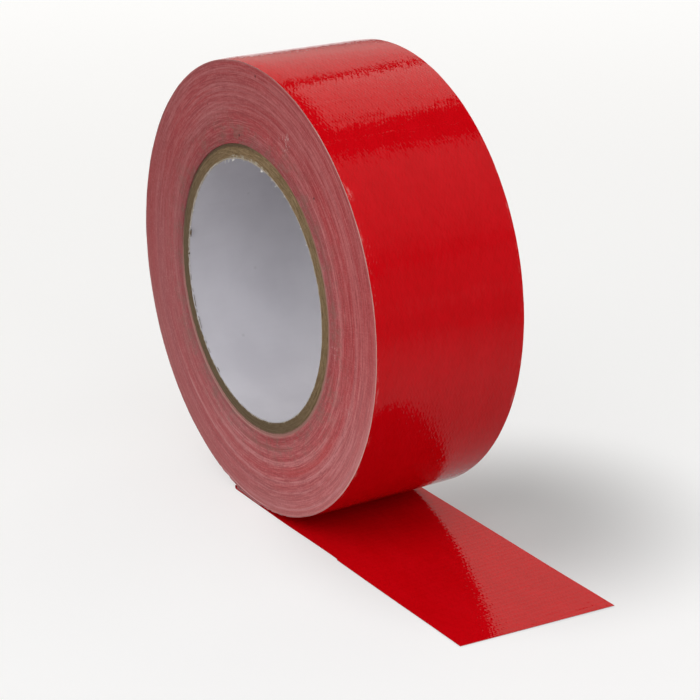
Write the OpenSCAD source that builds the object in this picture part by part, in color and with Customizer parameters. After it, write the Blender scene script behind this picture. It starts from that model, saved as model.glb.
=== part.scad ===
/* [Tape] */
// Width of the tape
tape_w = 48; // [24:0.5:100]
// Length of tape on the roll, in metres
tape_len_m = 50; // [10:1:80]
// Thickness of the glossy film
film_t = 0.065; // [0.04:0.005:0.1]
// Thickness of the woven cloth under the film
cloth_t = 0.05; // [0.03:0.005:0.1]
// Thickness of the adhesive on the cloth
adhesive_t = 0.054; // [0.03:0.001:0.1]

/* [Core] */
// Diameter of the core's bore
bore_d = 77; // [38:0.1:152.4]
// Thickness of the white paper that lines the bore
liner_t = 0.45; // [0.2:0.05:0.8]
// Thickness of each ply of brown board
ply_t = 0.57; // [0.4:0.01:0.9]
// Number of plies in the core's wall
ply_count = 7; // [3:1:10]
// Depth of the core's ends below the tape's edges
core_inset = 0.1; // [0.1:0.05:1]

/* [Side faces] */
// Width of each band of turns that wound on slightly in or out
band_w = 1; // [0.5:0.1:3]
// Furthest that a band's edges stand in from the widest turns
band_depth = 0.2; // [0.05:0.01:0.4]
// Width of the even turns next to the core and under the outer turn
even_w = 1.2; // [0.8:0.1:3]

/* [Loose end] */
// Length of the loose end ahead of the roll's axis, along its middle
tail_len = 107.6; // [80:0.1:200]
// Slant of the cut end, out of square
cut_slant = 4.6; // [-15:0.1:15]
// Sideways lay of the loose end, off the middle of the roll
tail_shift = 0.7; // [-2:0.1:2]
// Inside radius of the fold that turns the loose end back under the roll
fold_r = 0.55; // [0.4:0.05:1.5]
// Length of tape between the line where it peels off the roll and the fold
peel_len = 3.5; // [2:0.1:5]
// Distance from the roll's axis to the line where the free end bends up
lift_x = 45; // [30:1:60]

/* [Clearances] */
// Gap between the roll and the loose end under it
roll_gap = 0.2; // [0.1:0.05:0.5]
// Gap between the loose end's two parts where it bends up
lift_gap = 0.1; // [0.05:0.05:0.5]
// Gap between the two ends of the outer turn
turn_gap = 0.8; // [0.5:0.1:2]

/* [Hidden] */
$fn = 180;
// Steps that the outer turn, the peeled stretch and the fold are drawn with
turn_steps = 180;
peel_steps = 4;
fold_steps = 12;
// Overlap of a cut past the face that it opens
cut_over = 1;
// Angle between the waves that set one band in and the next one out
band_phase = 137.5;

tape_t = film_t + cloth_t + adhesive_t;
bore_r = bore_d / 2;
core_r = bore_r + liner_t + ply_count * ply_t;
core_w = tape_w - 2 * core_inset;
// The wound section has the area of the tape's own edge
roll_r = sqrt(pow(core_r, 2) + tape_len_m * 1000 * tape_t / PI);
pack_r = roll_r - 2 * tape_t;
bands = floor((pack_r - core_r - 2 * even_w) / band_w);

// The fold sits where the roll's curve leaves it just enough height
deck_z = -(roll_r + roll_gap);
peel_r = roll_r + roll_gap + tape_t;
fold_z = deck_z + fold_r;
fold_x = -sqrt(pow(peel_r + fold_r, 2) - pow(fold_z, 2));
fold_a = 180 + atan(fold_x / fold_z);
peel_a = fold_a - peel_len / peel_r * 180 / PI;
turn_sweep = 360 - turn_gap / roll_r * 180 / PI;

film_colour = [0.72, 0.03, 0.05];
cloth_colour = [0.88, 0.84, 0.78];
adhesive_colour = [0.82, 0.8, 0.74];
edge_colour = [0.64, 0.38, 0.39];
ply_colour = [0.5, 0.43, 0.28];
liner_colour = [0.93, 0.93, 0.94];

// Point of the roll's section at radius r and angle a, clockwise from the top
function on_clock(r, a) = [r * sin(a), r * cos(a)];

function backwards(points) = [for (k = [len(points) - 1 : -1 : 0]) points[k]];

function least_gap(a, b) = min([for (p = a, q = b) norm(p - q)]);

// The outer turn's section at depth d under the film's face, from its outer end inward
function turn_line(d) = [
    for (k = [0 : turn_steps])
        let (s = turn_sweep * k / turn_steps)
            on_clock(roll_r - tape_t * s / 360 - d, peel_a - s)
];

// The peeled stretch of the loose end, over the roll's curve
function peel_line(d) = [
    for (k = [0 : peel_steps])
        on_clock(peel_r - d, peel_a + (fold_a - peel_a) * k / peel_steps)
];

// The fold, round its own axis
function fold_line(d) = [
    for (k = [1 : fold_steps])
        [fold_x, fold_z] + on_clock(fold_r + d, fold_a - 180 - fold_a * k / fold_steps)
];

// The loose end's laid part, from the peel line to the bend line
function tail_line(d) = concat(
    peel_line(d),
    fold_line(d),
    [[lift_x - lift_gap / 2, deck_z - d]]
);

// Plan of the free end, whose far edge is cut on a slant
function end_plan() = let (skew = tape_w / 2 * tan(cut_slant)) [
    [lift_x + lift_gap / 2, -tape_w / 2],
    [tail_len - skew, -tape_w / 2],
    [tail_len + skew, tape_w / 2],
    [lift_x + lift_gap / 2, tape_w / 2]
];

// Depth of band i on one side, from 0 to band_depth
function band_in(i, side) = band_depth * (1 - cos(band_phase * i + 90 * side)) / 2;

// Solid w wide along the roll's axis, from a section drawn in x and z
module across(w) {
    rotate([90, 0, 0])
        linear_extrude(w, center = true)
            children();
}

module tube(r_in, r_out, w) {
    across(w)
        difference() {
            circle(r_out);
            circle(r_in);
        }
}

// One layer of the tape between two lines of its section
module layer(outer, inner) {
    across(tape_w)
        polygon(concat(outer, backwards(inner)));
}

module core_liner() {
    color(liner_colour)
        tube(bore_r, bore_r + liner_t, core_w);
}

module core_ply(i) {
    r_in = bore_r + liner_t + (i - 1) * ply_t;
    color(ply_colour)
        tube(r_in, r_in + ply_t, core_w);
}

// Ring that takes each band of one side back to its own depth
module band_cut(side) {
    rotate([90, 0, 0])
        mirror([0, 0, side > 0 ? 1 : 0])
            rotate_extrude()
                for (i = [0 : bands - 1])
                    translate([core_r + even_w + i * band_w, tape_w / 2 - band_in(i, side)])
                        square([band_w, band_in(i, side) + cut_over]);
}

module wound_tape() {
    under_end = on_clock(roll_r - 2 * tape_t, peel_a);
    color(edge_colour)
        difference() {
            across(tape_w)
                difference() {
                    polygon(concat(turn_line(tape_t), [under_end]));
                    circle(core_r);
                }
            for (side = [-1, 1])
                band_cut(side);
        }
}

module turn_layer(d_out, d_in) {
    layer(turn_line(d_out), turn_line(d_in));
}

module tail_layer(d_out, d_in) {
    translate([0, tail_shift, 0])
        layer(tail_line(d_out), tail_line(d_in));
}

module end_layer(d_out, d_in) {
    translate([0, tail_shift, deck_z - d_in])
        linear_extrude(d_in - d_out)
            polygon(end_plan());
}

module turn_film() {
    color(film_colour) turn_layer(0, film_t);
}

module turn_cloth() {
    color(cloth_colour) turn_layer(film_t, film_t + cloth_t);
}

module turn_adhesive() {
    color(adhesive_colour) turn_layer(film_t + cloth_t, tape_t);
}

module tail_film() {
    color(film_colour) tail_layer(0, film_t);
}

module tail_cloth() {
    color(cloth_colour) tail_layer(film_t, film_t + cloth_t);
}

module tail_adhesive() {
    color(adhesive_colour) tail_layer(film_t + cloth_t, tape_t);
}

module end_film() {
    color(film_colour) end_layer(0, film_t);
}

module end_cloth() {
    color(cloth_colour) end_layer(film_t, film_t + cloth_t);
}

module end_adhesive() {
    color(adhesive_colour) end_layer(film_t + cloth_t, tape_t);
}

echo(
    roll_radius = roll_r,
    turns = (roll_r - core_r) / tape_t,
    deck = deck_z,
    peel_angle = peel_a,
    fold_at = [fold_x, fold_z],
    bands_per_side = bands
);
echo(
    gap_between_turn_ends = least_gap(
        [for (d = [0, tape_t]) turn_line(d)[0]],
        [for (d = [0, tape_t]) turn_line(d)[turn_steps]]
    ),
    gap_in_fold = least_gap(
        peel_line(0),
        [for (x = [fold_x : fold_r / 4 : 0]) [x, deck_z]]
    )
);

core_liner();
for (i = [1 : ply_count])
    core_ply(i);
wound_tape();
turn_adhesive();
turn_cloth();
turn_film();
tail_adhesive();
tail_cloth();
tail_film();
end_adhesive();
end_cloth();
end_film();
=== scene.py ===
import math
import random

import bmesh
import bpy
from mathutils import Matrix, Vector, noise


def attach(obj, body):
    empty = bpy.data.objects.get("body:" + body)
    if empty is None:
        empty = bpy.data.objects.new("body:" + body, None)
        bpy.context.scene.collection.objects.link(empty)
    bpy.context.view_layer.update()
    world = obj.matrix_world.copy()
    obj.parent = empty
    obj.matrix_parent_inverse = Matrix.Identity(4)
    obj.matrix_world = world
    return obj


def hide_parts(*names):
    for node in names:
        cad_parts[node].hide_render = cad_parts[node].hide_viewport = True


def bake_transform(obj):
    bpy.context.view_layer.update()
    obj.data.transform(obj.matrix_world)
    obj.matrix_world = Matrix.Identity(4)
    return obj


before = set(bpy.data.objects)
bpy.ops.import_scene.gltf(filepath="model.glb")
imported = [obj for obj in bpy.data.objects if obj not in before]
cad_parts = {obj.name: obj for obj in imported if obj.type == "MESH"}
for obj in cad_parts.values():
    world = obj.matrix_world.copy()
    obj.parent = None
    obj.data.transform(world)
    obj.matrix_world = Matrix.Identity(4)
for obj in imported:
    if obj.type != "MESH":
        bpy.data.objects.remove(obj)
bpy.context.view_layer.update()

# Sizes of the roll, in metres, as in the solids
MM = 0.001
TAPE_W = 48 * MM
HALF_W = TAPE_W / 2
TAPE_LEN = 50
FILM_T = 0.065 * MM
CLOTH_T = 0.05 * MM
ADHESIVE_T = 0.054 * MM
TAPE_T = FILM_T + CLOTH_T + ADHESIVE_T
BORE_R = 38.5 * MM
LINER_T = 0.45 * MM
BOARD_R = BORE_R + LINER_T
PLY_T = 0.57 * MM
PLIES = 7
CORE_R = BOARD_R + PLIES * PLY_T
CORE_W = 47.8 * MM
ROLL_R = math.sqrt(CORE_R ** 2 + TAPE_LEN * TAPE_T / math.pi)
ROLL_GAP = 0.2 * MM
TURN_GAP = 0.8 * MM
DECK_Z = -(ROLL_R + ROLL_GAP)
FLOOR_Z = DECK_Z - TAPE_T

# The loose end: fold, lay and cut
FOLD_R = 0.55 * MM
PEEL_LEN = 3.5 * MM
PEEL_R = ROLL_R + ROLL_GAP + TAPE_T
FOLD_Z = DECK_Z + FOLD_R
FOLD_X = -math.sqrt((PEEL_R + FOLD_R) ** 2 - FOLD_Z ** 2)
FOLD_A = 180 + math.degrees(math.atan(FOLD_X / FOLD_Z))
PEEL_A = FOLD_A - math.degrees(PEEL_LEN / PEEL_R)
TAIL_LEN = 107.6 * MM
TAIL_SHIFT = 0.7 * MM
CUT_SLANT = math.tan(math.radians(4.6))

# Points closer than this are at the same place
SAME_PLACE = 1e-6
# Sides of the roll along its axis
NEAR, FAR = -1, 1


# ---- mesh helpers

def clock(v):
    """Angle of a point round the roll, clockwise from the top, in degrees."""
    return math.degrees(math.atan2(v.x, v.z))


def on_clock(r, a, y=0.0):
    """Point at distance r from the roll's axis and angle a round it."""
    a = math.radians(a)
    return Vector((r * math.sin(a), y, r * math.cos(a)))


def smooth_step(low, high, x):
    """0 at low and 1 at high, with an eased way between."""
    t = min(1.0, max(0.0, (x - low) / (high - low)))
    return t * t * (3 - 2 * t)


def round_noise(e, scale, seed):
    """Chance unevenness round the roll, in the direction e from its axis."""
    return noise.noise(Vector((e.x * scale, e.z * scale, seed)))


def points_of(geom):
    return [v for v in geom if isinstance(v, bmesh.types.BMVert)]


def finish_piece(name, bm, material):
    mesh = bpy.data.meshes.new(name)
    bm.to_mesh(mesh)
    bm.free()
    mesh.materials.append(material)
    mesh.polygons.foreach_set("use_smooth", [True] * len(mesh.polygons))
    piece = bpy.data.objects.new(name, mesh)
    bpy.context.scene.collection.objects.link(piece)
    return piece


def row_of_points(bm, start, end, cuts):
    """A straight row of points between two places."""
    ends = [bm.verts.new(start), bm.verts.new(end)]
    edge = bm.edges.new(ends)
    bmesh.ops.subdivide_edges(bm, edges=[edge], cuts=cuts)


def turn_round_axis(bm, degrees, steps, close=False):
    """Turns all the points and edges round the roll's axis into faces."""
    return bmesh.ops.spin(bm, geom=bm.verts[:] + bm.edges[:], cent=(0, 0, 0), axis=(0, 1, 0),
                          angle=math.radians(degrees), steps=steps, use_merge=close)


def double_faces(bm):
    """Closes a sheet of faces with a second one, and gives the points of that."""
    made = bmesh.ops.extrude_face_region(bm, geom=bm.faces[:], use_keep_orig=True)
    return points_of(made["geom"])


def keep_rims_sharp(bm, degrees=40):
    """Shades every edge that turns more than this as a hard one."""
    for e in bm.edges:
        e.smooth = not e.is_manifold or e.calc_face_angle() < math.radians(degrees)


def close_layer(bm, lay, depth, thickness):
    """Doubles a sheet of faces into a closed layer.

    lay(v, d) gives the place of a point d under the tape's face."""
    under = set(double_faces(bm))
    for v in bm.verts:
        v.co = lay(v, depth + thickness if v in under else depth)
    bmesh.ops.recalc_face_normals(bm, faces=bm.faces[:])
    keep_rims_sharp(bm)


# ---- material helpers

def put(tree, kind, out=0, settings=None, **sockets):
    """Adds a node, fills its sockets by name or number, and gives one of its outputs."""
    n = tree.nodes.new(kind)
    for key, value in (settings or {}).items():
        setattr(n, key, value)
    for key, value in sockets.items():
        numbered = key[0] == "i" and key[1:].isdigit()
        socket = n.inputs[int(key[1:]) if numbered else key.replace("_", " ")]
        if isinstance(value, bpy.types.NodeSocket):
            tree.links.new(value, socket)
        else:
            socket.default_value = value
    return n.outputs[out]


def math_node(tree, operation, a, b=0.0):
    return put(tree, "ShaderNodeMath", settings={"operation": operation}, i0=a, i1=b)


def plus(tree, a, b):
    return math_node(tree, "ADD", a, b)


def minus(tree, a, b):
    return math_node(tree, "SUBTRACT", a, b)


def times(tree, a, b):
    return math_node(tree, "MULTIPLY", a, b)


def over(tree, a, b):
    return math_node(tree, "DIVIDE", a, b)


def off_from(tree, value, place):
    """Distance of a value from a place, on either side of it."""
    return math_node(tree, "ABSOLUTE", minus(tree, value, place))


def vector_node(tree, operation, *vectors, out=0, **sockets):
    numbered = {f"i{k}": v for k, v in enumerate(vectors)}
    return put(tree, "ShaderNodeVectorMath", out=out, settings={"operation": operation}, **numbered, **sockets)


def mix_colour(tree, share, a, b, blend="MIX"):
    return put(tree, "ShaderNodeMix", out=2, settings={"data_type": "RGBA", "blend_type": blend},
               i0=share, i6=a, i7=b)


def spread(tree, value, low, high, to_low=0.0, to_high=1.0, ease="SMOOTHSTEP"):
    """Takes the value's way from low to high over to another range, and holds it there."""
    return put(tree, "ShaderNodeMapRange", settings={"interpolation_type": ease},
               i0=value, i1=low, i2=high, i3=to_low, i4=to_high)


def join_xyz(tree, x, y, z=0.0):
    return put(tree, "ShaderNodeCombineXYZ", i0=x, i1=y, i2=z)


def split_xyz(tree, vector):
    parts = tree.nodes.new("ShaderNodeSeparateXYZ")
    tree.links.new(vector, parts.inputs[0])
    return parts.outputs[0], parts.outputs[1], parts.outputs[2]


def place_on_piece(tree):
    return put(tree, "ShaderNodeTexCoord", out="Object")


def named_value(tree, name):
    return put(tree, "ShaderNodeAttribute", out="Fac", settings={"attribute_name": name})


def grain(tree, where, scale=1.0, detail=2.0, rough=0.5):
    return put(tree, "ShaderNodeTexNoise", Vector=where, Scale=scale, Detail=detail, Roughness=rough)


def spots(tree, where, scale):
    """Distance to the nearest of many scattered spots."""
    return put(tree, "ShaderNodeTexVoronoi", Vector=where, Scale=scale)


def bumps(tree, height, distance, strength, **under):
    return put(tree, "ShaderNodeBump", Height=height, Distance=distance, Strength=strength, **under)


def wave(tree, distance, pitch):
    return math_node(tree, "SINE", times(tree, distance, 2 * math.pi / pitch))


def new_material(name, **finish):
    """A material with a plain shader, its tree and that shader."""
    m = bpy.data.materials.new(name)
    m.use_nodes = True
    shader = m.node_tree.nodes["Principled BSDF"]
    for key, value in finish.items():
        shader.inputs[key.replace("_", " ")].default_value = value
    return m, m.node_tree, shader


def set_input(tree, shader, name, socket):
    tree.links.new(socket, shader.inputs[name])


class Paint:
    """A colour that shades are laid over, one after another."""

    def __init__(self, tree, share, first, second):
        self.tree, self.colour = tree, mix_colour(tree, share, first, second)

    def lay(self, share, shade, blend="MIX"):
        self.colour = mix_colour(self.tree, share, self.colour, shade, blend)


class RollPlace:
    """A place on the piece, as distance from the roll's axis and direction round it."""

    def __init__(self, tree):
        self.tree, self.place = tree, place_on_piece(tree)
        x, _, z = split_xyz(tree, self.place)
        self.r = math_node(tree, "SQRT", plus(tree, times(tree, x, x), times(tree, z, z)))
        self.ex, self.ez = over(tree, x, self.r), over(tree, z, self.r)

    def towards(self, angle):
        """1 at this angle round the roll, falling to -1 opposite it."""
        at = on_clock(1.0, angle)
        return plus(self.tree, times(self.tree, self.ex, at.x), times(self.tree, self.ez, at.z))

    def rings(self, width, turn, detail=2.0, shift=0.0):
        """Streaks that follow the winding: narrow across it, long round it."""
        tree = self.tree
        where = join_xyz(tree, plus(tree, over(tree, self.r, width), shift),
                         times(tree, self.ex, turn), times(tree, self.ez, turn))
        return grain(tree, where, 1.0, detail, 0.6)


# ---- the film

FILM_DEEP, FILM_BRIGHT = (0.64, 0.001, 0.005, 1), (0.68, 0.002, 0.007, 1)
FILM_THREAD, FILM_WORN = (0.54, 0.001, 0.003, 1), (0.74, 0.36, 0.33, 1)


def tip_round_roll(tree, normal, lean):
    """Tips the film's face forward or back round the roll's axis."""
    at = RollPlace(tree)
    forward = put(tree, "ShaderNodeVectorTransform",
                  settings={"vector_type": "VECTOR", "convert_from": "OBJECT", "convert_to": "WORLD"},
                  i0=join_xyz(tree, at.ez, 0.0, times(tree, at.ex, -1.0)))
    tip = vector_node(tree, "SCALE", forward, Scale=lean)
    return vector_node(tree, "NORMALIZE", vector_node(tree, "ADD", normal, tip))


def red_film(name, weave, ribs, pulls, swell, gloss, streaks=0.0, wear=0.0, creases=(), rubs=()):
    """Glossy film that the cloth shows through, with its weave, ribs, pulled spots and swells.

    Streaks tip the face a little, wear pales the edges, creases (place, rise) run across the tape,
    and rubs (place, reach) are pale spots on its near edge."""
    m, tree, shader = new_material(name, IOR=1.22)
    along, across = named_value(tree, "along"), named_value(tree, "across")

    def at_scale(wide, long):
        return join_xyz(tree, over(tree, across, wide * MM), over(tree, along, long * MM))

    def patches(wide, long, detail=2.0, rough=0.5):
        return grain(tree, at_scale(wide, long), 1.0, detail, rough)

    def centred(value, size):
        return times(tree, minus(tree, value, 0.5), size)

    cloud, stray, pull = patches(7, 30), patches(2.2, 4), patches(1.2, 3.2, 1.5, 0.5)
    warp = wave(tree, plus(tree, across, centred(stray, 0.9 * MM)), 1.05 * MM)
    weft = wave(tree, plus(tree, along, centred(stray, 1.6 * MM)), 2.1 * MM)
    threads = times(tree, times(tree, warp, weft), spread(tree, pull, 0.3, 0.7, 0.2, 1.6))
    height = times(tree, threads, weave)
    for form, rise in ((warp, 0.35 * weave),
                       (weft, spread(tree, stray, 0.3, 0.7, 0.4 * ribs, 1.6 * ribs)),
                       (pull, pulls),
                       (patches(13, 3.2, 3.0, 0.55), swell)):
        height = plus(tree, height, times(tree, form, rise))
    for place, rise in creases:
        off = off_from(tree, plus(tree, along, centred(cloud, 1.5 * MM)), place)
        height = plus(tree, height, spread(tree, off, 0.0, 0.8 * MM, rise, 0.0))
    normal = bumps(tree, height, 1.0, 1.0)
    if streaks:
        normal = tip_round_roll(tree, normal, centred(patches(0.7, 3.2, 2.0, 0.6), streaks))
    set_input(tree, shader, "Normal", normal)

    paint = Paint(tree, spread(tree, cloud, 0.3, 0.7), FILM_DEEP, FILM_BRIGHT)
    paint.lay(spread(tree, threads, -1.0, 1.0, 0.0, 0.3), FILM_THREAD)
    paint.lay(spread(tree, pull, 0.35, 0.65, 0.0, 0.3), FILM_THREAD)
    rim = spread(tree, math_node(tree, "ABSOLUTE", across), HALF_W - 1.3 * MM, HALF_W - 0.1 * MM)
    wear_and_painted_light = times(tree, rim, spread(tree, patches(2, 9, 4.0, 0.7), 0.55, 0.7))
    paint.lay(times(tree, wear_and_painted_light, wear), FILM_WORN)
    for place, reach in rubs:
        near_rim = spread(tree, across, -HALF_W + 0.6 * MM, -HALF_W + 2.2 * MM, 1.0, 0.0)
        rub = times(tree, spread(tree, off_from(tree, along, place), 0.3 * reach, reach, 0.45, 0.0), near_rim)
        paint.lay(times(tree, rub, spread(tree, patches(1.2, 2.5, 3.0, 0.7), 0.4, 0.6)), FILM_WORN)
    specks = spots(tree, at_scale(26, 26), 1.0)
    paint.lay(spread(tree, specks, 0.01, 0.022, 0.6, 0.0), FILM_WORN)
    set_input(tree, shader, "Base Color", paint.colour)
    set_input(tree, shader, "Roughness", spread(tree, pull, 0.3, 0.7, *gloss))
    return m


# ---- the edges of the turns

EDGE_DUSTY, EDGE_STRONG, EDGE_CALM = (0.51, 0.124, 0.13, 1), (0.54, 0.082, 0.09, 1), (0.51, 0.112, 0.118, 1)
EDGE_PALE, EDGE_DULL, EDGE_GREY = (0.66, 0.245, 0.248, 1), (0.36, 0.069, 0.075, 1), (0.32, 0.16, 0.133, 1)
EDGE_FUZZ, EDGE_BLOOM, EDGE_INNER_HIGHLIGHT = (0.70, 0.36, 0.35, 1), (0.66, 0.31, 0.31, 1), (0.60, 0.30, 0.27, 1)
EDGE_RIM_WEAR_AND_HIGHLIGHT, EDGE_LOOSE_TURN_SHADE = (0.86, 0.52, 0.47, 1), (0.36, 0.05, 0.06, 1)
EDGE_PARTED, EDGE_SHADED = (0.78, 0.47, 0.47, 1), (0.37, 0.10, 0.13, 1)
EDGE_SPECK, EDGE_SCUFF = (0.07, 0.03, 0.028, 1), (0.80, 0.60, 0.58, 1)
# These two multiply the colour under them
EDGE_DEEPER, EDGE_FADED = (0.93, 0.77, 0.77, 1), (1.08, 1.3, 1.3, 1)

# Scuffs on the near side: place round the roll, distance from its axis, reach
SCUFFS = ((23, 52.5 * MM, 4.5 * MM), (96, 46.0 * MM, 3.0 * MM), (112, 55.0 * MM, 2.5 * MM))

# Arcs on the side faces: middle and half length round the roll, distance from its axis,
# half width, share, colour
PALE_TURN, CLEAN_TURN, DUSTY_TURN = (0.70, 0.31, 0.31, 1), (0.56, 0.066, 0.066, 1), (0.27, 0.125, 0.095, 1)
ARCS = ((152, 55, 64.8 * MM, 0.6 * MM, 0.5, PALE_TURN), (155, 50, 59.9 * MM, 0.5 * MM, 0.35, PALE_TURN),
        (175, 80, 56.6 * MM, 0.5 * MM, 0.45, PALE_TURN), (165, 55, 51.8 * MM, 0.6 * MM, 0.45, PALE_TURN),
        (185, 28, 48.7 * MM, 0.5 * MM, 0.35, PALE_TURN), (143, 22, 54.0 * MM, 1.8 * MM, 0.6, CLEAN_TURN),
        (172, 24, 47.0 * MM, 0.9 * MM, 0.5, DUSTY_TURN), (60, 40, 45.6 * MM, 1.2 * MM, 0.35, DUSTY_TURN))


def lay_arcs(tree, at, paint, tone, strands):
    """Turns that stand out over part of the way round."""
    uneven = plus(tree, at.r, times(tree, minus(tree, tone, 0.5), 1.0 * MM))
    for angle, reach, radius, width, share, shade in ARCS:
        ends = math.cos(math.radians(reach)), math.cos(math.radians(0.4 * reach))
        arc = times(tree, spread(tree, off_from(tree, uneven, radius), 0.2 * width, width, share, 0.0),
                    spread(tree, at.towards(angle), *ends))
        paint.lay(times(tree, arc, spread(tree, strands, 0.35, 0.6, 0.4, 1.0)), shade)


def lay_dust(tree, at, paint, fuzz):
    """Grey smudges by the core, cut fuzz, pale bloom low on the roll, a painted highlight on the turns' edges
    by the core in the lower half, and deeper and faded parts.
    """
    by_core = spread(tree, at.r, CORE_R + 13 * MM, CORE_R + 1 * MM)
    smudge = times(tree, by_core, spread(tree, grain(tree, at.place, 200.0, 4.0, 0.8), 0.45, 0.65))
    paint.lay(times(tree, smudge, 0.6), EDGE_GREY)
    paint.lay(spread(tree, fuzz, 0.56, 0.74, 0.0, 0.5), EDGE_FUZZ)
    paint.lay(spread(tree, fuzz, 0.46, 0.28, 0.0, 0.5), EDGE_DULL)
    below = spread(tree, at.ez, 0.3, -0.5)
    bloom = spread(tree, at.r, ROLL_R - 11 * MM, ROLL_R - 1 * MM, 0.0, 0.3)
    paint.lay(times(tree, bloom, below), EDGE_BLOOM)
    # Painted highlight: a pale line where the first turns' edges meet the core, strongest low on the left
    inner_highlight = times(tree, spread(tree, at.r, CORE_R + 0.8 * MM, CORE_R + 0.35 * MM, 0.0, 0.6), below)
    paint.lay(times(tree, inner_highlight, spread(tree, at.towards(212), 0.3, 0.75, 0.3, 1.0)), EDGE_INNER_HIGHLIGHT)
    deeper = times(tree, spread(tree, at.towards(45), 0.2, 0.9),
                   spread(tree, at.r, CORE_R + 4 * MM, CORE_R + 9 * MM))
    paint.lay(deeper, EDGE_DEEPER, "MULTIPLY")
    faded = times(tree, spread(tree, at.towards(235), 0.3, 0.9),
                  spread(tree, at.r, ROLL_R - 4 * MM, ROLL_R - 7 * MM))
    paint.lay(faded, EDGE_FADED, "MULTIPLY")


def lay_rim(tree, at, paint):
    """The last turns: a pale rim in front, partly wear and partly painted highlight, painted shade for loose
    turns low at the back, and parted ones with painted shade at the bottom.
    """
    # Pale rim, partly wear and partly a painted highlight where the light catches the outer edge
    rim = times(tree, spread(tree, at.r, ROLL_R - 1.05 * MM, ROLL_R - 0.8 * MM),
                spread(tree, at.towards(75), 0.3, 0.8, 0.1, 0.8))
    paint.lay(rim, EDGE_RIM_WEAR_AND_HIGHLIGHT)
    last_turns = spread(tree, at.r, ROLL_R - 1.0 * MM, ROLL_R - 0.8 * MM, 0.0, 0.6)
    # Painted shade: a dark band where the loose last turns lie, low at the back
    paint.lay(times(tree, last_turns, spread(tree, at.towards(213), 0.95, 0.98)), EDGE_LOOSE_TURN_SHADE)
    at_bottom = spread(tree, at.towards(186), 0.972, 0.992)
    parted = spread(tree, off_from(tree, at.r, ROLL_R - 1.15 * MM), 0.08 * MM, 0.22 * MM, 0.7, 0.0)
    paint.lay(times(tree, at_bottom, parted), EDGE_PARTED)
    paint.lay(times(tree, at_bottom, last_turns), EDGE_SHADED)


def tape_edges():
    """Dusty edges of the turns: fine rings, broad bands, arcs, dust, specks and a few scuffs, with painted
    light and shade laid over them.
    """
    m, tree, shader = new_material("tape_edges", Roughness=0.75, IOR=1.3)
    at = RollPlace(tree)
    fine = at.rings(0.42 * MM, 2.6, 3.0)
    band = at.rings(2.0 * MM, 0.5, 3.0, 7.3)
    tone = at.rings(9.0 * MM, 1.3, 2.0, 3.1)
    hairs = at.rings(1.3 * MM, 150.0, 3.0, 1.7)
    strands = at.rings(0.36 * MM, 11.0, 2.0, 4.4)
    fuzz = grain(tree, at.place, 1900.0, 3.0, 0.75)

    paint = Paint(tree, spread(tree, tone, 0.35, 0.65), EDGE_DUSTY, EDGE_STRONG)
    for streak, full, share, shade in ((band, 0.66, 0.75, EDGE_PALE), (band, 0.32, 0.55, EDGE_DULL),
                                       (fine, 0.75, 0.6, EDGE_PALE), (fine, 0.28, 0.55, EDGE_DULL),
                                       (hairs, 0.7, 0.3, EDGE_PALE), (hairs, 0.3, 0.3, EDGE_DULL),
                                       (strands, 0.68, 0.45, EDGE_PALE), (strands, 0.32, 0.5, EDGE_DULL)):
        paint.lay(spread(tree, streak, 0.5, full, 0.0, share), shade)
    paint.lay(spread(tree, at.towards(245), 0.2, 0.9, 0.0, 0.4), EDGE_CALM)
    lay_arcs(tree, at, paint, tone, strands)
    lay_dust(tree, at, paint, fuzz)
    lay_rim(tree, at, paint)
    # Painted light and shade: the side face is made lighter towards the lower right and darker near the core,
    # as the light falls across it
    wear_and_painted_light = times(tree, spread(tree, at.towards(125), -1.0, 1.0, 0.88, 1.22, "LINEAR"),
                 spread(tree, at.r, CORE_R + 1 * MM, CORE_R + 7 * MM, 0.86, 1.0))
    paint.lay(1.0, wear_and_painted_light, "MULTIPLY")
    paint.lay(spread(tree, spots(tree, at.place, 60.0), 0.015, 0.03, 0.8, 0.0), EDGE_SPECK)
    for angle, radius, reach in SCUFFS:
        away = vector_node(tree, "DISTANCE", at.place, on_clock(radius, angle, NEAR * HALF_W), out="Value")
        scratch = spread(tree, grain(tree, at.place, 700.0, 4.0, 0.75), 0.5, 0.68)
        paint.lay(times(tree, spread(tree, away, 0.1 * reach, reach, 0.8, 0.0), scratch), EDGE_SCUFF)
    set_input(tree, shader, "Base Color", paint.colour)
    grooves = bumps(tree, fine, 0.05 * MM, 0.8)
    set_input(tree, shader, "Normal", bumps(tree, fuzz, 0.06 * MM, 0.7, Normal=grooves))
    return m


# ---- board, paper, cloth and adhesive

BOARD_DARK, BOARD_LIGHT, BOARD_SHADED_SIDE = (0.215, 0.137, 0.065, 1), (0.32, 0.22, 0.118, 1), (0.13, 0.093, 0.055, 1)
BOARD_FLECK, BOARD_GROOVE_SHADE = (0.11, 0.075, 0.037, 1), (0.10, 0.062, 0.035, 1)
BOARD_SMEAR, BOARD_TORN = (0.46, 0.22, 0.19, 1), (0.46, 0.40, 0.31, 1)
PAPER_SPOT, PAPER_SOILED = (0.45, 0.44, 0.46, 1), (0.43, 0.35, 0.24, 1)


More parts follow.
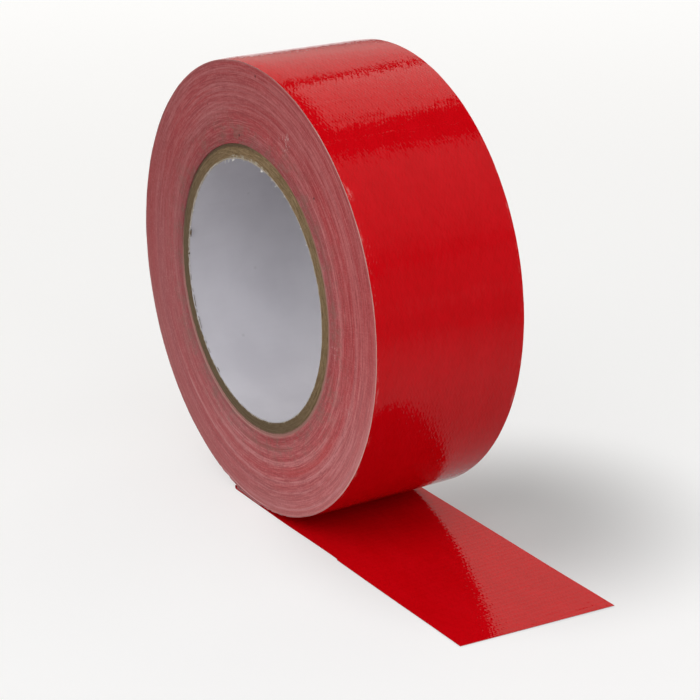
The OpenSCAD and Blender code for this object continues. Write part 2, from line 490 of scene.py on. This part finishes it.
def brown_board():
    """Fibrous board with painted shade low at the back, smeared by the tape, with a painted shadow along its
    outer edge at the upper left, and torn at the bore.
    """
    m, tree, shader = new_material("brown_board", Roughness=0.85, IOR=1.35)
    at = RollPlace(tree)
    fibres = at.rings(0.5 * MM, 14.0, 4.0)
    fleck = grain(tree, at.place, 900.0, 4.0, 0.7)
    paint = Paint(tree, spread(tree, fibres, 0.35, 0.65), BOARD_DARK, BOARD_LIGHT)
    # Painted shade: the board darkens low at the back
    paint.lay(spread(tree, plus(tree, at.ex, at.ez), 1.0, -1.0, 0.0, 0.75), BOARD_SHADED_SIDE)
    paint.lay(spread(tree, fleck, 0.55, 0.7, 0.0, 0.6), BOARD_FLECK)
    ragged = plus(tree, at.r, times(tree, minus(tree, fleck, 0.5), 1.0 * MM))
    smear = times(tree, spread(tree, ragged, CORE_R - 1.1 * MM, CORE_R - 0.4 * MM),
                  spread(tree, at.ez, 0.75, 0.35))
    paint.lay(smear, BOARD_SMEAR)
    # Painted shadow: the outer edge darkens at the upper left, along the groove where the outer ply stands in
    groove_shade = times(tree, spread(tree, ragged, CORE_R - 1.3 * MM, CORE_R - 0.7 * MM),
                  spread(tree, at.towards(322), 0.6, 0.88, 0.0, 0.8))
    paint.lay(groove_shade, BOARD_GROOVE_SHADE)
    torn_width = plus(tree, spread(tree, at.ez, 0.93, 0.985, 0.0, 0.75 * MM),
                      spread(tree, at.ez, -0.2, -0.6, 0.0, 0.22 * MM))
    torn = spread(tree, minus(tree, ragged, torn_width), BOARD_R - 0.15 * MM, BOARD_R + 0.2 * MM, 1.0, 0.0)
    torn = times(tree, torn, spread(tree, grain(tree, at.place, 420.0, 3.0, 0.6), 0.46, 0.6, 0.15, 1.0))
    torn = times(tree, torn, spread(tree, at.r, BORE_R + 0.25 * MM, BORE_R + 0.35 * MM))
    paint.lay(torn, BOARD_TORN)
    set_input(tree, shader, "Base Color", paint.colour)
    set_input(tree, shader, "Normal", bumps(tree, fleck, 0.06 * MM, 0.7))
    return m


def liner_paper(name, soiling, dull, bright):
    """Cloudy white paper with faint spots, soiled at its ends in the upper half."""
    m, tree, shader = new_material(name, Roughness=0.6, IOR=1.4)
    place = place_on_piece(tree)
    _, y, z = split_xyz(tree, place)
    paint = Paint(tree, spread(tree, grain(tree, place, 60.0, 3.0, 0.5), 0.3, 0.7), dull, bright)
    paint.lay(spread(tree, spots(tree, place, 70.0), 0.02, 0.06, 0.35, 0.0), PAPER_SPOT)
    end = spread(tree, math_node(tree, "ABSOLUTE", y), CORE_W / 2 - 0.6 * MM, CORE_W / 2 - 0.2 * MM)
    patchy = spread(tree, grain(tree, place, 400.0, 3.0, 0.6), 0.35, 0.65, soiling, 0.6 * soiling)
    upper = spread(tree, z, -0.4 * BORE_R, 0.3 * BORE_R)
    paint.lay(times(tree, times(tree, end, patchy), upper), PAPER_SOILED)
    set_input(tree, shader, "Base Color", paint.colour)
    fibre = grain(tree, place, 1500.0, 3.0, 0.6)
    set_input(tree, shader, "Normal", bumps(tree, fibre, 0.02 * MM, 0.5))
    return m


def plain_layer(name, dark, light, scale, rough):
    m, tree, shader = new_material(name, Roughness=rough, IOR=1.3)
    mottle = grain(tree, place_on_piece(tree), scale, 3.0, 0.6)
    set_input(tree, shader, "Base Color", mix_colour(tree, spread(tree, mottle, 0.35, 0.65), dark, light))
    set_input(tree, shader, "Normal", bumps(tree, mottle, 0.02 * MM, 0.5))
    return m


FILM_ON_ROLL = red_film("red_film_on_roll", weave=0.009 * MM, ribs=0.0, pulls=0.05 * MM, swell=0.05 * MM,
                        gloss=(0.035, 0.075), streaks=0.17, wear=0.45,
                        creases=((176.3 * MM, 0.03 * MM), (190.5 * MM, 0.012 * MM)),
                        rubs=((160.5 * MM, 2.5 * MM),))
FILM_LAID = red_film("red_film_laid", weave=0.005 * MM, ribs=0.011 * MM, pulls=0.006 * MM, swell=0.01 * MM,
                     gloss=(0.015, 0.03))
TAPE_EDGES = tape_edges()
BROWN_BOARD = brown_board()
# The liner's paper gets a grey-lilac colour as painted shade for the inside of the bore; its torn slivers keep
# the paper's white
LINER_PAPER_SHADED = liner_paper("liner_paper", 0.95, (0.645, 0.63, 0.685, 1), (0.70, 0.685, 0.74, 1))
TORN_PAPER = liner_paper("torn_paper", 0.25, (0.80, 0.79, 0.79, 1), (0.88, 0.87, 0.86, 1))
CLOTH = plain_layer("woven_cloth", (0.60, 0.34, 0.33, 1), (0.70, 0.48, 0.46, 1), 1800.0, 0.85)
ADHESIVE = plain_layer("adhesive", (0.42, 0.20, 0.20, 1), (0.52, 0.29, 0.28, 1), 700.0, 0.45)


# ---- the wound tape

# The inner turns: their number, the steps round each, and the cuts across the last one
TURNS, TURN_STEPS, TURN_CUTS = 142, 160, 11
SEAM_DEPTH = 0.05 * MM
CORE_GAP = 0.02 * MM
OUTER_STEPS = 360
# A point this many degrees past the peel line still counts as on it
ANGLE_SLACK = 0.2

# The outer turns droop from this far off the middle, by this much at the near and the far edge
DROOP_FROM, DROOP_NEAR, DROOP_FAR = 18.5 * MM, 0.3 * MM, 0.08 * MM


def outer_relief(y, a):
    """Droop and soft unevenness of the roll's outer face."""
    e = on_clock(1.0, a)
    lumps = noise.noise(Vector((e.x * 4.5, y / (16 * MM), e.z * 4.5)))
    outward = max(0.0, (abs(y) - DROOP_FROM) / (HALF_W - DROOP_FROM))
    return 0.04 * MM * (lumps - 1) - (DROOP_NEAR if y < 0 else DROOP_FAR) * outward * outward


def edge_inset(r, a):
    """How far a turn's edge stands in from the widest turns."""
    e = on_clock(1.0, a)
    band = noise.noise(Vector((r / (1.3 * MM), e.x * 0.7, e.z * 0.7 + 5)))
    fine = noise.noise(Vector((r / (0.31 * MM), e.x * 2.2, e.z * 2.2 + 9)))
    return MM * (0.12 + 0.09 * band + 0.06 * fine)


def make_wound_turns():
    """The inner turns as one spiral, with a seam between each turn and the next."""
    r_out = ROLL_R - 2 * TAPE_T
    r_in = r_out - TURNS * TAPE_T
    bm = bmesh.new()
    corners = [bm.verts.new(on_clock(r, PEEL_A, y)) for r, y in
               ((r_in, -HALF_W), (r_out, -HALF_W), (r_out, HALF_W), (r_in, HALF_W))]
    sides = [bm.edges.new((corners[i], corners[(i + 1) % 4])) for i in range(4)]
    bmesh.ops.subdivide_edges(bm, edges=[sides[0], sides[2]], cuts=2 * TURNS - 1)
    bmesh.ops.subdivide_edges(bm, edges=[sides[1]], cuts=TURN_CUTS)
    first = set(bm.verts)
    made = turn_round_axis(bm, 360, TURN_STEPS)
    last = set(points_of(made["geom_last"]))
    for v in bm.verts:
        r, a = math.hypot(v.co.x, v.co.z), clock(v.co)
        turned = 0.0 if v in first else 1.0 if v in last else ((a - PEEL_A) % 360) / 360
        half_turn = round((r - r_in) / (TAPE_T / 2))
        r = r + TAPE_T * turned if half_turn else CORE_R + CORE_GAP
        y = v.co.y
        if abs(abs(y) - HALF_W) < SAME_PLACE:
            inset = edge_inset(r, a) + (SEAM_DEPTH if half_turn % 2 == 0 else 0.0)
            y -= math.copysign(inset, y)
        share = ((r - CORE_R) / (ROLL_R - CORE_R)) ** 6
        v.co = on_clock(r + share * outer_relief(y, a), a, y)
    bmesh.ops.remove_doubles(bm, verts=bm.verts[:], dist=0.002 * MM)
    bmesh.ops.holes_fill(bm, edges=[e for e in bm.edges if e.is_boundary], sides=0)
    bmesh.ops.recalc_face_normals(bm, faces=bm.faces[:])
    return finish_piece("wound_turns", bm, TAPE_EDGES)


def edge_wander(a, y):
    """How far the outer turn's edge stands in from its full width, most at the bottom of the near side."""
    e = on_clock(1.0, a)
    seed = 4.0 if y > 0 else 0.0
    slow, quick = round_noise(e, 9, 1.3 + seed), round_noise(e, 38, 2.6 + seed)
    ragged = smooth_step(0.86, 0.97, e.dot(on_clock(1.0, 172))) if y < 0 else 0.0
    return MM * max(0.0, 0.05 + 0.06 * slow + (0.05 + 0.8 * ragged) * quick)


def make_outer_layer(name, depth, thickness, material, cuts):
    """One layer of the outer turn, which winds in by one tape thickness from the peel line."""
    sweep = 360 - math.degrees(TURN_GAP / ROLL_R)
    bm = bmesh.new()
    along, across = bm.verts.layers.float.new("along"), bm.verts.layers.float.new("across")
    start = PEEL_A - sweep
    row_of_points(bm, on_clock(ROLL_R, start, -HALF_W), on_clock(ROLL_R, start, HALF_W), cuts)
    turn_round_axis(bm, sweep, OUTER_STEPS)
    for v in bm.verts:
        back = (PEEL_A - clock(v.co) + ANGLE_SLACK) % 360 - ANGLE_SLACK
        v[along], v[across] = math.radians(back) * ROLL_R, v.co.y

    def lay(v, d):
        back = math.degrees(v[along] / ROLL_R)
        a, y = PEEL_A - back, v[across]
        if abs(y) > HALF_W - SAME_PLACE:
            y -= math.copysign(edge_wander(a, y), y)
        return on_clock(ROLL_R - TAPE_T * back / 360 - d + outer_relief(y, a), a, y)

    close_layer(bm, lay, depth, thickness)
    return finish_piece(name, bm, material)


# ---- the loose end

PEEL_SWEEP = FOLD_A - PEEL_A
FOLD_LEN = math.radians(FOLD_A) * FOLD_R
FLAT_FROM = PEEL_LEN + FOLD_LEN
FLAT_LEN = TAIL_LEN - FOLD_X
# Rows of points along the peel, the fold and the flat part, and the strips across
PEEL_ROWS, FOLD_ROWS, FLAT_ROWS, LOOSE_STRIPS = 6, 20, 120, 24
# The near edge stands in a little up to this place
NICK_X, NICK_DEPTH = 45 * MM, 0.25 * MM
# The layers stuck together inside the fold, and where they rise from under the peeled tape to the roll
STACK_FROM, STACK_LEN, STACK_ROWS, STACK_LAYERS = FOLD_X - 0.1 * MM, 12 * MM, 40, 6
STACK_INSET, STACK_STEP, STACK_RISE = 0.02 * MM, 0.06 * MM, (-9.4 * MM, -8.8 * MM)
STACK_GAP, STACK_ROLL_GAP, STACK_DECK_GAP = 0.03 * MM, 0.1 * MM, 0.02 * MM


def near_edge(x):
    """How far the loose end's near edge stands in from its full width."""
    if x < NICK_X:
        return NICK_DEPTH - 0.5 * MM * smooth_step(43 * MM, 12 * MM, x)
    return -0.14 * MM * smooth_step(90 * MM, 60 * MM, x)


def tape_path(s):
    """Place of the film's face and its upper side, s along the loose end from the peel line."""
    if s < PEEL_LEN:
        out = on_clock(1.0, PEEL_A + PEEL_SWEEP * s / PEEL_LEN)
        return out * PEEL_R, out
    s -= PEEL_LEN
    if s < FOLD_LEN:
        out = on_clock(1.0, FOLD_A - 180 - FOLD_A * s / FOLD_LEN)
        return Vector((FOLD_X, 0, FOLD_Z)) + out * FOLD_R, -out
    return Vector((FOLD_X + s - FOLD_LEN, 0, DECK_Z)), Vector((0, 0, 1))


def laid_lift(x, y):
    """Slight waves of the loose end off the ground, and the rise of its tip."""
    free = smooth_step(12 * MM, 40 * MM, x)
    tip = 0.2 * MM * smooth_step(75 * MM, 108 * MM, x)
    return tip + free * 0.05 * MM * (1 + noise.noise(Vector((x / (26 * MM), y / (30 * MM), 2.7))))


def make_loose_layer(name, depth, thickness, material):
    """One layer of the loose end: a grid laid along the peel, round the fold and out to the slanted cut."""
    stops = [PEEL_LEN * k / PEEL_ROWS for k in range(PEEL_ROWS)]
    stops += [PEEL_LEN + FOLD_LEN * k / FOLD_ROWS for k in range(FOLD_ROWS)]
    rows = len(stops) + FLAT_ROWS
    bm = bmesh.new()
    bmesh.ops.create_grid(bm, x_segments=rows, y_segments=LOOSE_STRIPS, size=0.5)
    along, across = bm.verts.layers.float.new("along"), bm.verts.layers.float.new("across")
    for v in bm.verts:
        k = round((v.co.x + 0.5) * rows)
        y = v.co.y * TAPE_W
        flat = FLAT_LEN + y * CUT_SLANT
        v[along] = stops[k] if k < len(stops) else FLAT_FROM + flat * (k - len(stops)) / FLAT_ROWS
        v[across] = y

    def lay(v, d):
        at, up = tape_path(v[along])
        y = v[across]
        lift = laid_lift(at.x, y) if v[along] > FLAT_FROM else 0.0
        nick = near_edge(at.x) if y < -HALF_W + SAME_PLACE else 0.0
        return at - up * d + Vector((0, y + nick + TAIL_SHIFT, lift))

    close_layer(bm, lay, depth, thickness)
    return finish_piece(name, bm, material)


def make_folded_stack():
    """The layers stuck together inside the fold, which fill it under the roll's lower back."""
    bm = bmesh.new()
    bmesh.ops.create_grid(bm, x_segments=STACK_ROWS, y_segments=STACK_LAYERS, size=0.5)
    layer_of = {v: round((v.co.y + 0.5) * STACK_LAYERS) for v in bm.verts}
    for v in bm.verts:
        x = STACK_FROM + (v.co.x + 0.5) * STACK_LEN
        clear = PEEL_R + STACK_GAP - (PEEL_R - ROLL_R - STACK_ROLL_GAP) * smooth_step(*STACK_RISE, x)
        low, high = DECK_Z + STACK_DECK_GAP, -math.sqrt(clear ** 2 - x ** 2)
        v.co = Vector((x, -HALF_W + TAIL_SHIFT + STACK_INSET, low + (high - low) * (v.co.y + 0.5)))
    bmesh.ops.translate(bm, vec=(0, TAPE_W - 2 * STACK_INSET, 0), verts=double_faces(bm))
    for v, layer in layer_of.items():
        v.co.y += STACK_STEP * (layer % 2)
    bmesh.ops.recalc_face_normals(bm, faces=bm.faces[:])
    keep_rims_sharp(bm)
    return finish_piece("folded_stack", bm, TAPE_EDGES)


# ---- the core

# The outer ply stands in furthest at this place
GROOVE_A, GROOVE_DEPTH = 308, 0.25 * MM
# How far each ply's ends stand in
PLY_SET_IN = (0.0, 0.06 * MM, 0.02 * MM, 0.08 * MM, 0.03 * MM, 0.1 * MM, 0.04 * MM)
# Torn slivers: how far out from the bore and in from the core's end they root, and how much they narrow
SLIVER_OUT, SLIVER_IN, SLIVER_TAPER = 0.15 * MM, 0.25 * MM, 0.6


def make_tube(name, r_in, r_out, material, steps, ragged, seed, ease, set_in=0.0, groove=0.0):
    """A paper tube with eased edges and slightly ragged ends."""
    bm = bmesh.new()
    bmesh.ops.create_grid(bm, x_segments=1, y_segments=1, size=0.5)
    bmesh.ops.scale(bm, vec=(r_out - r_in, CORE_W, 1), verts=bm.verts[:])
    bmesh.ops.bevel(bm, geom=bm.verts[:], offset=ease, segments=2, profile=0.5,
                    affect="VERTICES", material=-1)
    bmesh.ops.translate(bm, vec=((r_in + r_out) / 2, 0, 0), verts=bm.verts[:])
    bmesh.ops.delete(bm, geom=bm.faces[:], context="FACES_ONLY")
    turn_round_axis(bm, 360, steps, close=True)
    for v in bm.verts:
        e = on_clock(1.0, clock(v.co))
        side = math.copysign(1.0, v.co.y)
        rough = round_noise(e, 24, seed + 3 * side)
        rough += 0.6 * round_noise(e, 70, seed + 5 * side)
        wear_and_painted_light = max(0.0, e.dot(on_clock(1.0, GROOVE_A))) ** 2
        v.co.y -= side * (set_in + groove * wear_and_painted_light + ragged * max(0.0, 0.6 + rough))
    bmesh.ops.recalc_face_normals(bm, faces=bm.faces[:])
    return finish_piece(name, bm, material)


def make_burrs(name, material, thickness, burrs):
    """Torn slivers on the core's ends: place round the bore, side, length, width and curl of each."""
    bm = bmesh.new()
    for angle, side, length, width, curl in burrs:
        inward, round_bore = -on_clock(1.0, angle), on_clock(1.0, angle + 90)
        root = on_clock(BORE_R + SLIVER_OUT, angle, side * (CORE_W / 2 - SLIVER_IN))
        made = bmesh.ops.create_grid(bm, x_segments=2, y_segments=8, size=0.5)
        for v in made["verts"]:
            t = v.co.y + 0.5
            lean = curl * t
            reach = length * (math.sin(lean) / curl)
            out = length * ((1 - math.cos(lean)) / curl)
            breadth = width * v.co.x * (1 - SLIVER_TAPER * t)
            v.co = root + inward * reach + round_bore * breadth + Vector((0, side * out, 0))
    bmesh.ops.recalc_face_normals(bm, faces=bm.faces[:])
    bmesh.ops.solidify(bm, geom=bm.faces[:], thickness=thickness)
    bmesh.ops.recalc_face_normals(bm, faces=bm.faces[:])
    return finish_piece(name, bm, material)


# ---- pieces on their bodies

wound = make_wound_turns()
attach(wound, "roll")
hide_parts("wound_tape")

# Each layer: depth under the tape's face, thickness, slot, material on the roll and laid, cuts across
LAYERS = (("film", 0.0, FILM_T, "red_film", FILM_ON_ROLL, FILM_LAID, 47),
          ("cloth", FILM_T, CLOTH_T, "woven_cloth", CLOTH, CLOTH, 23),
          ("adhesive", FILM_T + CLOTH_T, ADHESIVE_T, "adhesive", ADHESIVE, ADHESIVE, 23))

loose = {}
for layer, depth, thickness, slot, on_roll, laid, cuts in LAYERS:
    turn = make_outer_layer("outer_" + layer, depth, thickness, on_roll, cuts)
    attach(turn, "roll")
    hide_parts("turn_" + layer)
    loose[layer] = make_loose_layer("loose_" + layer, depth, thickness, laid)
    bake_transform(loose[layer])
    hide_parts("tail_" + layer, "end_" + layer)
stack = make_folded_stack()
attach(stack, "tail")

for ply, set_in in enumerate(PLY_SET_IN, 1):
    r_in = BOARD_R + (ply - 1) * PLY_T
    board = make_tube(f"board_ply_{ply}", r_in, r_in + PLY_T, BROWN_BOARD, steps=200, ragged=0.08 * MM,
                      seed=11.0 * ply, ease=0.06 * MM, set_in=set_in,
                      groove=GROOVE_DEPTH if ply == PLIES else 0.0)
    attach(board, "roll")
    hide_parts(f"core_ply_{ply}")

liner = make_tube("paper_liner", BORE_R, BOARD_R, LINER_PAPER_SHADED, steps=300, ragged=0.2 * MM,
                  seed=2.0, ease=0.08 * MM)
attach(liner, "roll")
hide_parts("core_liner")

draw = random.Random(7)
fuzz = [(draw.uniform(235, 400), NEAR, draw.uniform(0.4, 1.1) * MM,
         draw.uniform(0.2, 0.5) * MM, draw.uniform(0.3, 1.6)) for k in range(34)]
fuzz += [(draw.uniform(0, 360), draw.choice((NEAR, FAR)), draw.uniform(0.3, 0.8) * MM,
          draw.uniform(0.2, 0.4) * MM, draw.uniform(0.3, 1.6)) for k in range(40)]
fuzz += [(345.8, NEAR, 0.9 * MM, 1.6 * MM, 0.9), (11.0, NEAR, 0.8 * MM, 1.8 * MM, 1.0),
         (284.6, NEAR, 1.8 * MM, 1.3 * MM, 1.2), (267.2, NEAR, 1.6 * MM, 0.9 * MM, 1.3),
         (232.5, NEAR, 1.3 * MM, 1.0 * MM, 1.0)]
white_fuzz = make_burrs("paper_burrs", TORN_PAPER, 0.05 * MM, fuzz)
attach(white_fuzz, "roll")
curls = [(282.6, NEAR, 2.8 * MM, 2.4 * MM, 0.8), (272, NEAR, 1.4 * MM, 0.6 * MM, 1.8),
         (330, FAR, 1.8 * MM, 0.7 * MM, 2.2)]
curls += [(draw.uniform(212, 264), NEAR, draw.uniform(0.3, 0.65) * MM,
           draw.uniform(1.2, 2.8) * MM, draw.uniform(0.3, 1.0)) for k in range(18)]
board_curls = make_burrs("board_curls", BROWN_BOARD, 0.09 * MM, curls)
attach(board_curls, "roll")


# ---- stage, light and camera

FLOOR_REACH, FLOOR_DROP = 20.0, 0.02 * MM
FLOOR_DARK, FLOOR_GREY = (0, 0, 0, 1), (0.37, 0.37, 0.37, 1)
# Which way the ground darkens, and the spot beside the roll round which a shadow is painted into the ground's
# glow
RIGHTWARD, SHADED_SPOT = (0.674, 0.758, 0), (0.05, 0.033, FLOOR_Z)
WORLD_STRENGTH = 0.05
WARM, WHITE = (1.0, 0.96, 0.88), (1, 1, 1)

# The camera: where it looks, from how far and which way, and its focal length in pixels of the image
TARGET, DISTANCE = Vector((15.2755 * MM, 0, -18.2016 * MM)), 600.324 * MM
AZIMUTH, ELEVATION, TILT = math.radians(57.975), math.radians(20.393), math.radians(-0.337)
FOCAL_PIXELS, IMAGE_PIXELS, SENSOR_W = 2056.364, 700, 36.0


def make_floor():
    """Pale ground that shows white to the camera, keeps the roll's shadow, has a painted shadow in its glow
    beside the roll and darkens off to the right.
    """
    m, tree, shader = new_material("pale_floor", Roughness=0.9, Emission_Color=(1, 1, 1, 1))
    path = tree.nodes.new("ShaderNodeLightPath")
    seen = math_node(tree, "MAXIMUM", path.outputs["Is Camera Ray"], path.outputs["Is Glossy Ray"])
    seen = math_node(tree, "MAXIMUM", seen, path.outputs["Is Transmission Ray"])
    place = place_on_piece(tree)
    away = vector_node(tree, "LENGTH", place, out="Value")
    rightward = vector_node(tree, "DOT_PRODUCT", place, RIGHTWARD, out="Value")
    beside = vector_node(tree, "DISTANCE", place, SHADED_SPOT, out="Value")
    pale = spread(tree, rightward, 0.115, 0.4, 1.0, 0.35)
    # Painted shadow: the glow is dimmed round the spot beside the roll
    glow = times(tree, spread(tree, away, 0.25, 1.4, 0.6, 0.85), spread(tree, beside, 0.012, 0.08, 0.32, 1.0))
    set_input(tree, shader, "Emission Strength", times(tree, times(tree, glow, pale), seen))
    set_input(tree, shader, "Base Color", mix_colour(tree, pale, FLOOR_DARK, FLOOR_GREY))
    bm = bmesh.new()
    bmesh.ops.create_grid(bm, x_segments=1, y_segments=1, size=FLOOR_REACH)
    bmesh.ops.translate(bm, vec=(0, 0, FLOOR_Z - FLOOR_DROP), verts=bm.verts[:])
    floor = finish_piece("floor", bm, m)


def soft_panel(name, centre, size, facing, radiance, turn=0.0, glow=None, colour=WHITE):
    """A soft light that the camera doesn't see; glow(tree, x, y) gives its strength x and y off its middle."""
    lamp = bpy.data.lights.new(name, "AREA")
    lamp.shape = "RECTANGLE"
    lamp.size, lamp.size_y = size
    lamp.energy = radiance * math.pi * size[0] * size[1]
    lamp.color = colour
    if glow:
        lamp.use_nodes = True
        tree = lamp.node_tree
        parts = split_xyz(tree, put(tree, "ShaderNodeNewGeometry", out="Parametric"))
        x, y = (times(tree, minus(tree, parts[k], 0.5), size[k]) for k in (0, 1))
        tree.links.new(glow(tree, x, y), tree.nodes["Emission"].inputs["Strength"])
    panel = bpy.data.objects.new(name, lamp)
    panel.location = centre
    aim = Vector(facing).to_track_quat("-Z", "Y").to_matrix()
    panel.rotation_euler = (Matrix.Rotation(math.radians(turn), 3, "Z") @ aim).to_euler()
    panel.visible_camera = False
    bpy.context.scene.collection.objects.link(panel)


def overhead_glow(tree, x, y):
    """Full strength but for a soft front edge and a near end cut on a slant."""
    near_end = plus(tree, y, times(tree, x, 0.55))
    return times(tree, spread(tree, near_end, -0.339, -0.289), spread(tree, x, 0.116, 0.168, 1.0, 0.0))


def leaning_glow(tree, x, y):
    """Stronger towards the top, weaker at one end."""
    return times(tree, spread(tree, y, -0.465, 0.465, 0.25, 1.0, "LINEAR"),
                 spread(tree, x, -0.85, -0.45, 0.4, 1.0))


def side_glow(tree, x, y):
    """Fades out away from the roll."""
    return spread(tree, x, -0.8, 0.8, 1.0, 0.0, "LINEAR")


make_floor()
scene = bpy.context.scene
scene.view_settings.view_transform = "Standard"
world = bpy.data.worlds.new("studio")
scene.world = world
world.use_nodes = True
world.node_tree.nodes["Background"].inputs["Color"].default_value = (1, 1, 1, 1)
world.node_tree.nodes["Background"].inputs["Strength"].default_value = WORLD_STRENGTH

# The overhead light and the leaning one share an edge, with a dark slit between
soft_panel("overhead", centre=(-0.3095, 0.5315, 0.6), size=(0.337, 0.77), facing=(0, 0, -1),
           radiance=1.85, turn=31, glow=overhead_glow, colour=WARM)
soft_panel("leaning", centre=(-0.832, 0.2567, 0.3), size=(1.9, 0.93), facing=(0.5535, 0.3326, -0.7634),
           radiance=1.05, glow=leaning_glow, colour=WARM)
soft_panel("side_fill", centre=(0.97, 0.6, 0.6), size=(1.6, 1.3), facing=(0, 0, -1),
           radiance=1.0, glow=side_glow)
soft_panel("far_card", centre=(1.25, 0.82, 0.2), size=(1.2, 0.5), facing=(-1.25, -0.82, -0.25), radiance=0.35)
soft_panel("high_key", centre=(0.3, -0.6, 0.65), size=(0.6, 0.6), facing=(-0.3, 0.6, -0.65), radiance=2.6)
soft_panel("right_fill", centre=(0.75, -0.1, 0.3), size=(0.6, 0.6), facing=(-0.75, 0.1, -0.3), radiance=2.0)
soft_panel("front_fill", centre=(0.0, -0.95, 0.4), size=(0.7, 0.7), facing=(0.0, 0.95, -0.4), radiance=1.0)

camera = bpy.data.objects.new("camera", bpy.data.cameras.new("camera"))
scene.collection.objects.link(camera)
scene.camera = camera
back = Vector((math.sin(AZIMUTH) * math.cos(ELEVATION), -math.cos(AZIMUTH) * math.cos(ELEVATION),
               math.sin(ELEVATION)))
right = Vector((math.cos(AZIMUTH), math.sin(AZIMUTH), 0))
up = back.cross(right)
right, up = (right * math.cos(TILT) + up * math.sin(TILT),
             up * math.cos(TILT) - right * math.sin(TILT))
turn_to = Matrix((right, up, back)).transposed().to_4x4()
camera.matrix_world = Matrix.Translation(TARGET + back * DISTANCE) @ turn_to
camera.data.sensor_width = SENSOR_W
camera.data.lens = FOCAL_PIXELS / IMAGE_PIXELS * SENSOR_W
camera.data.clip_start, camera.data.clip_end = 0.01, 50.0
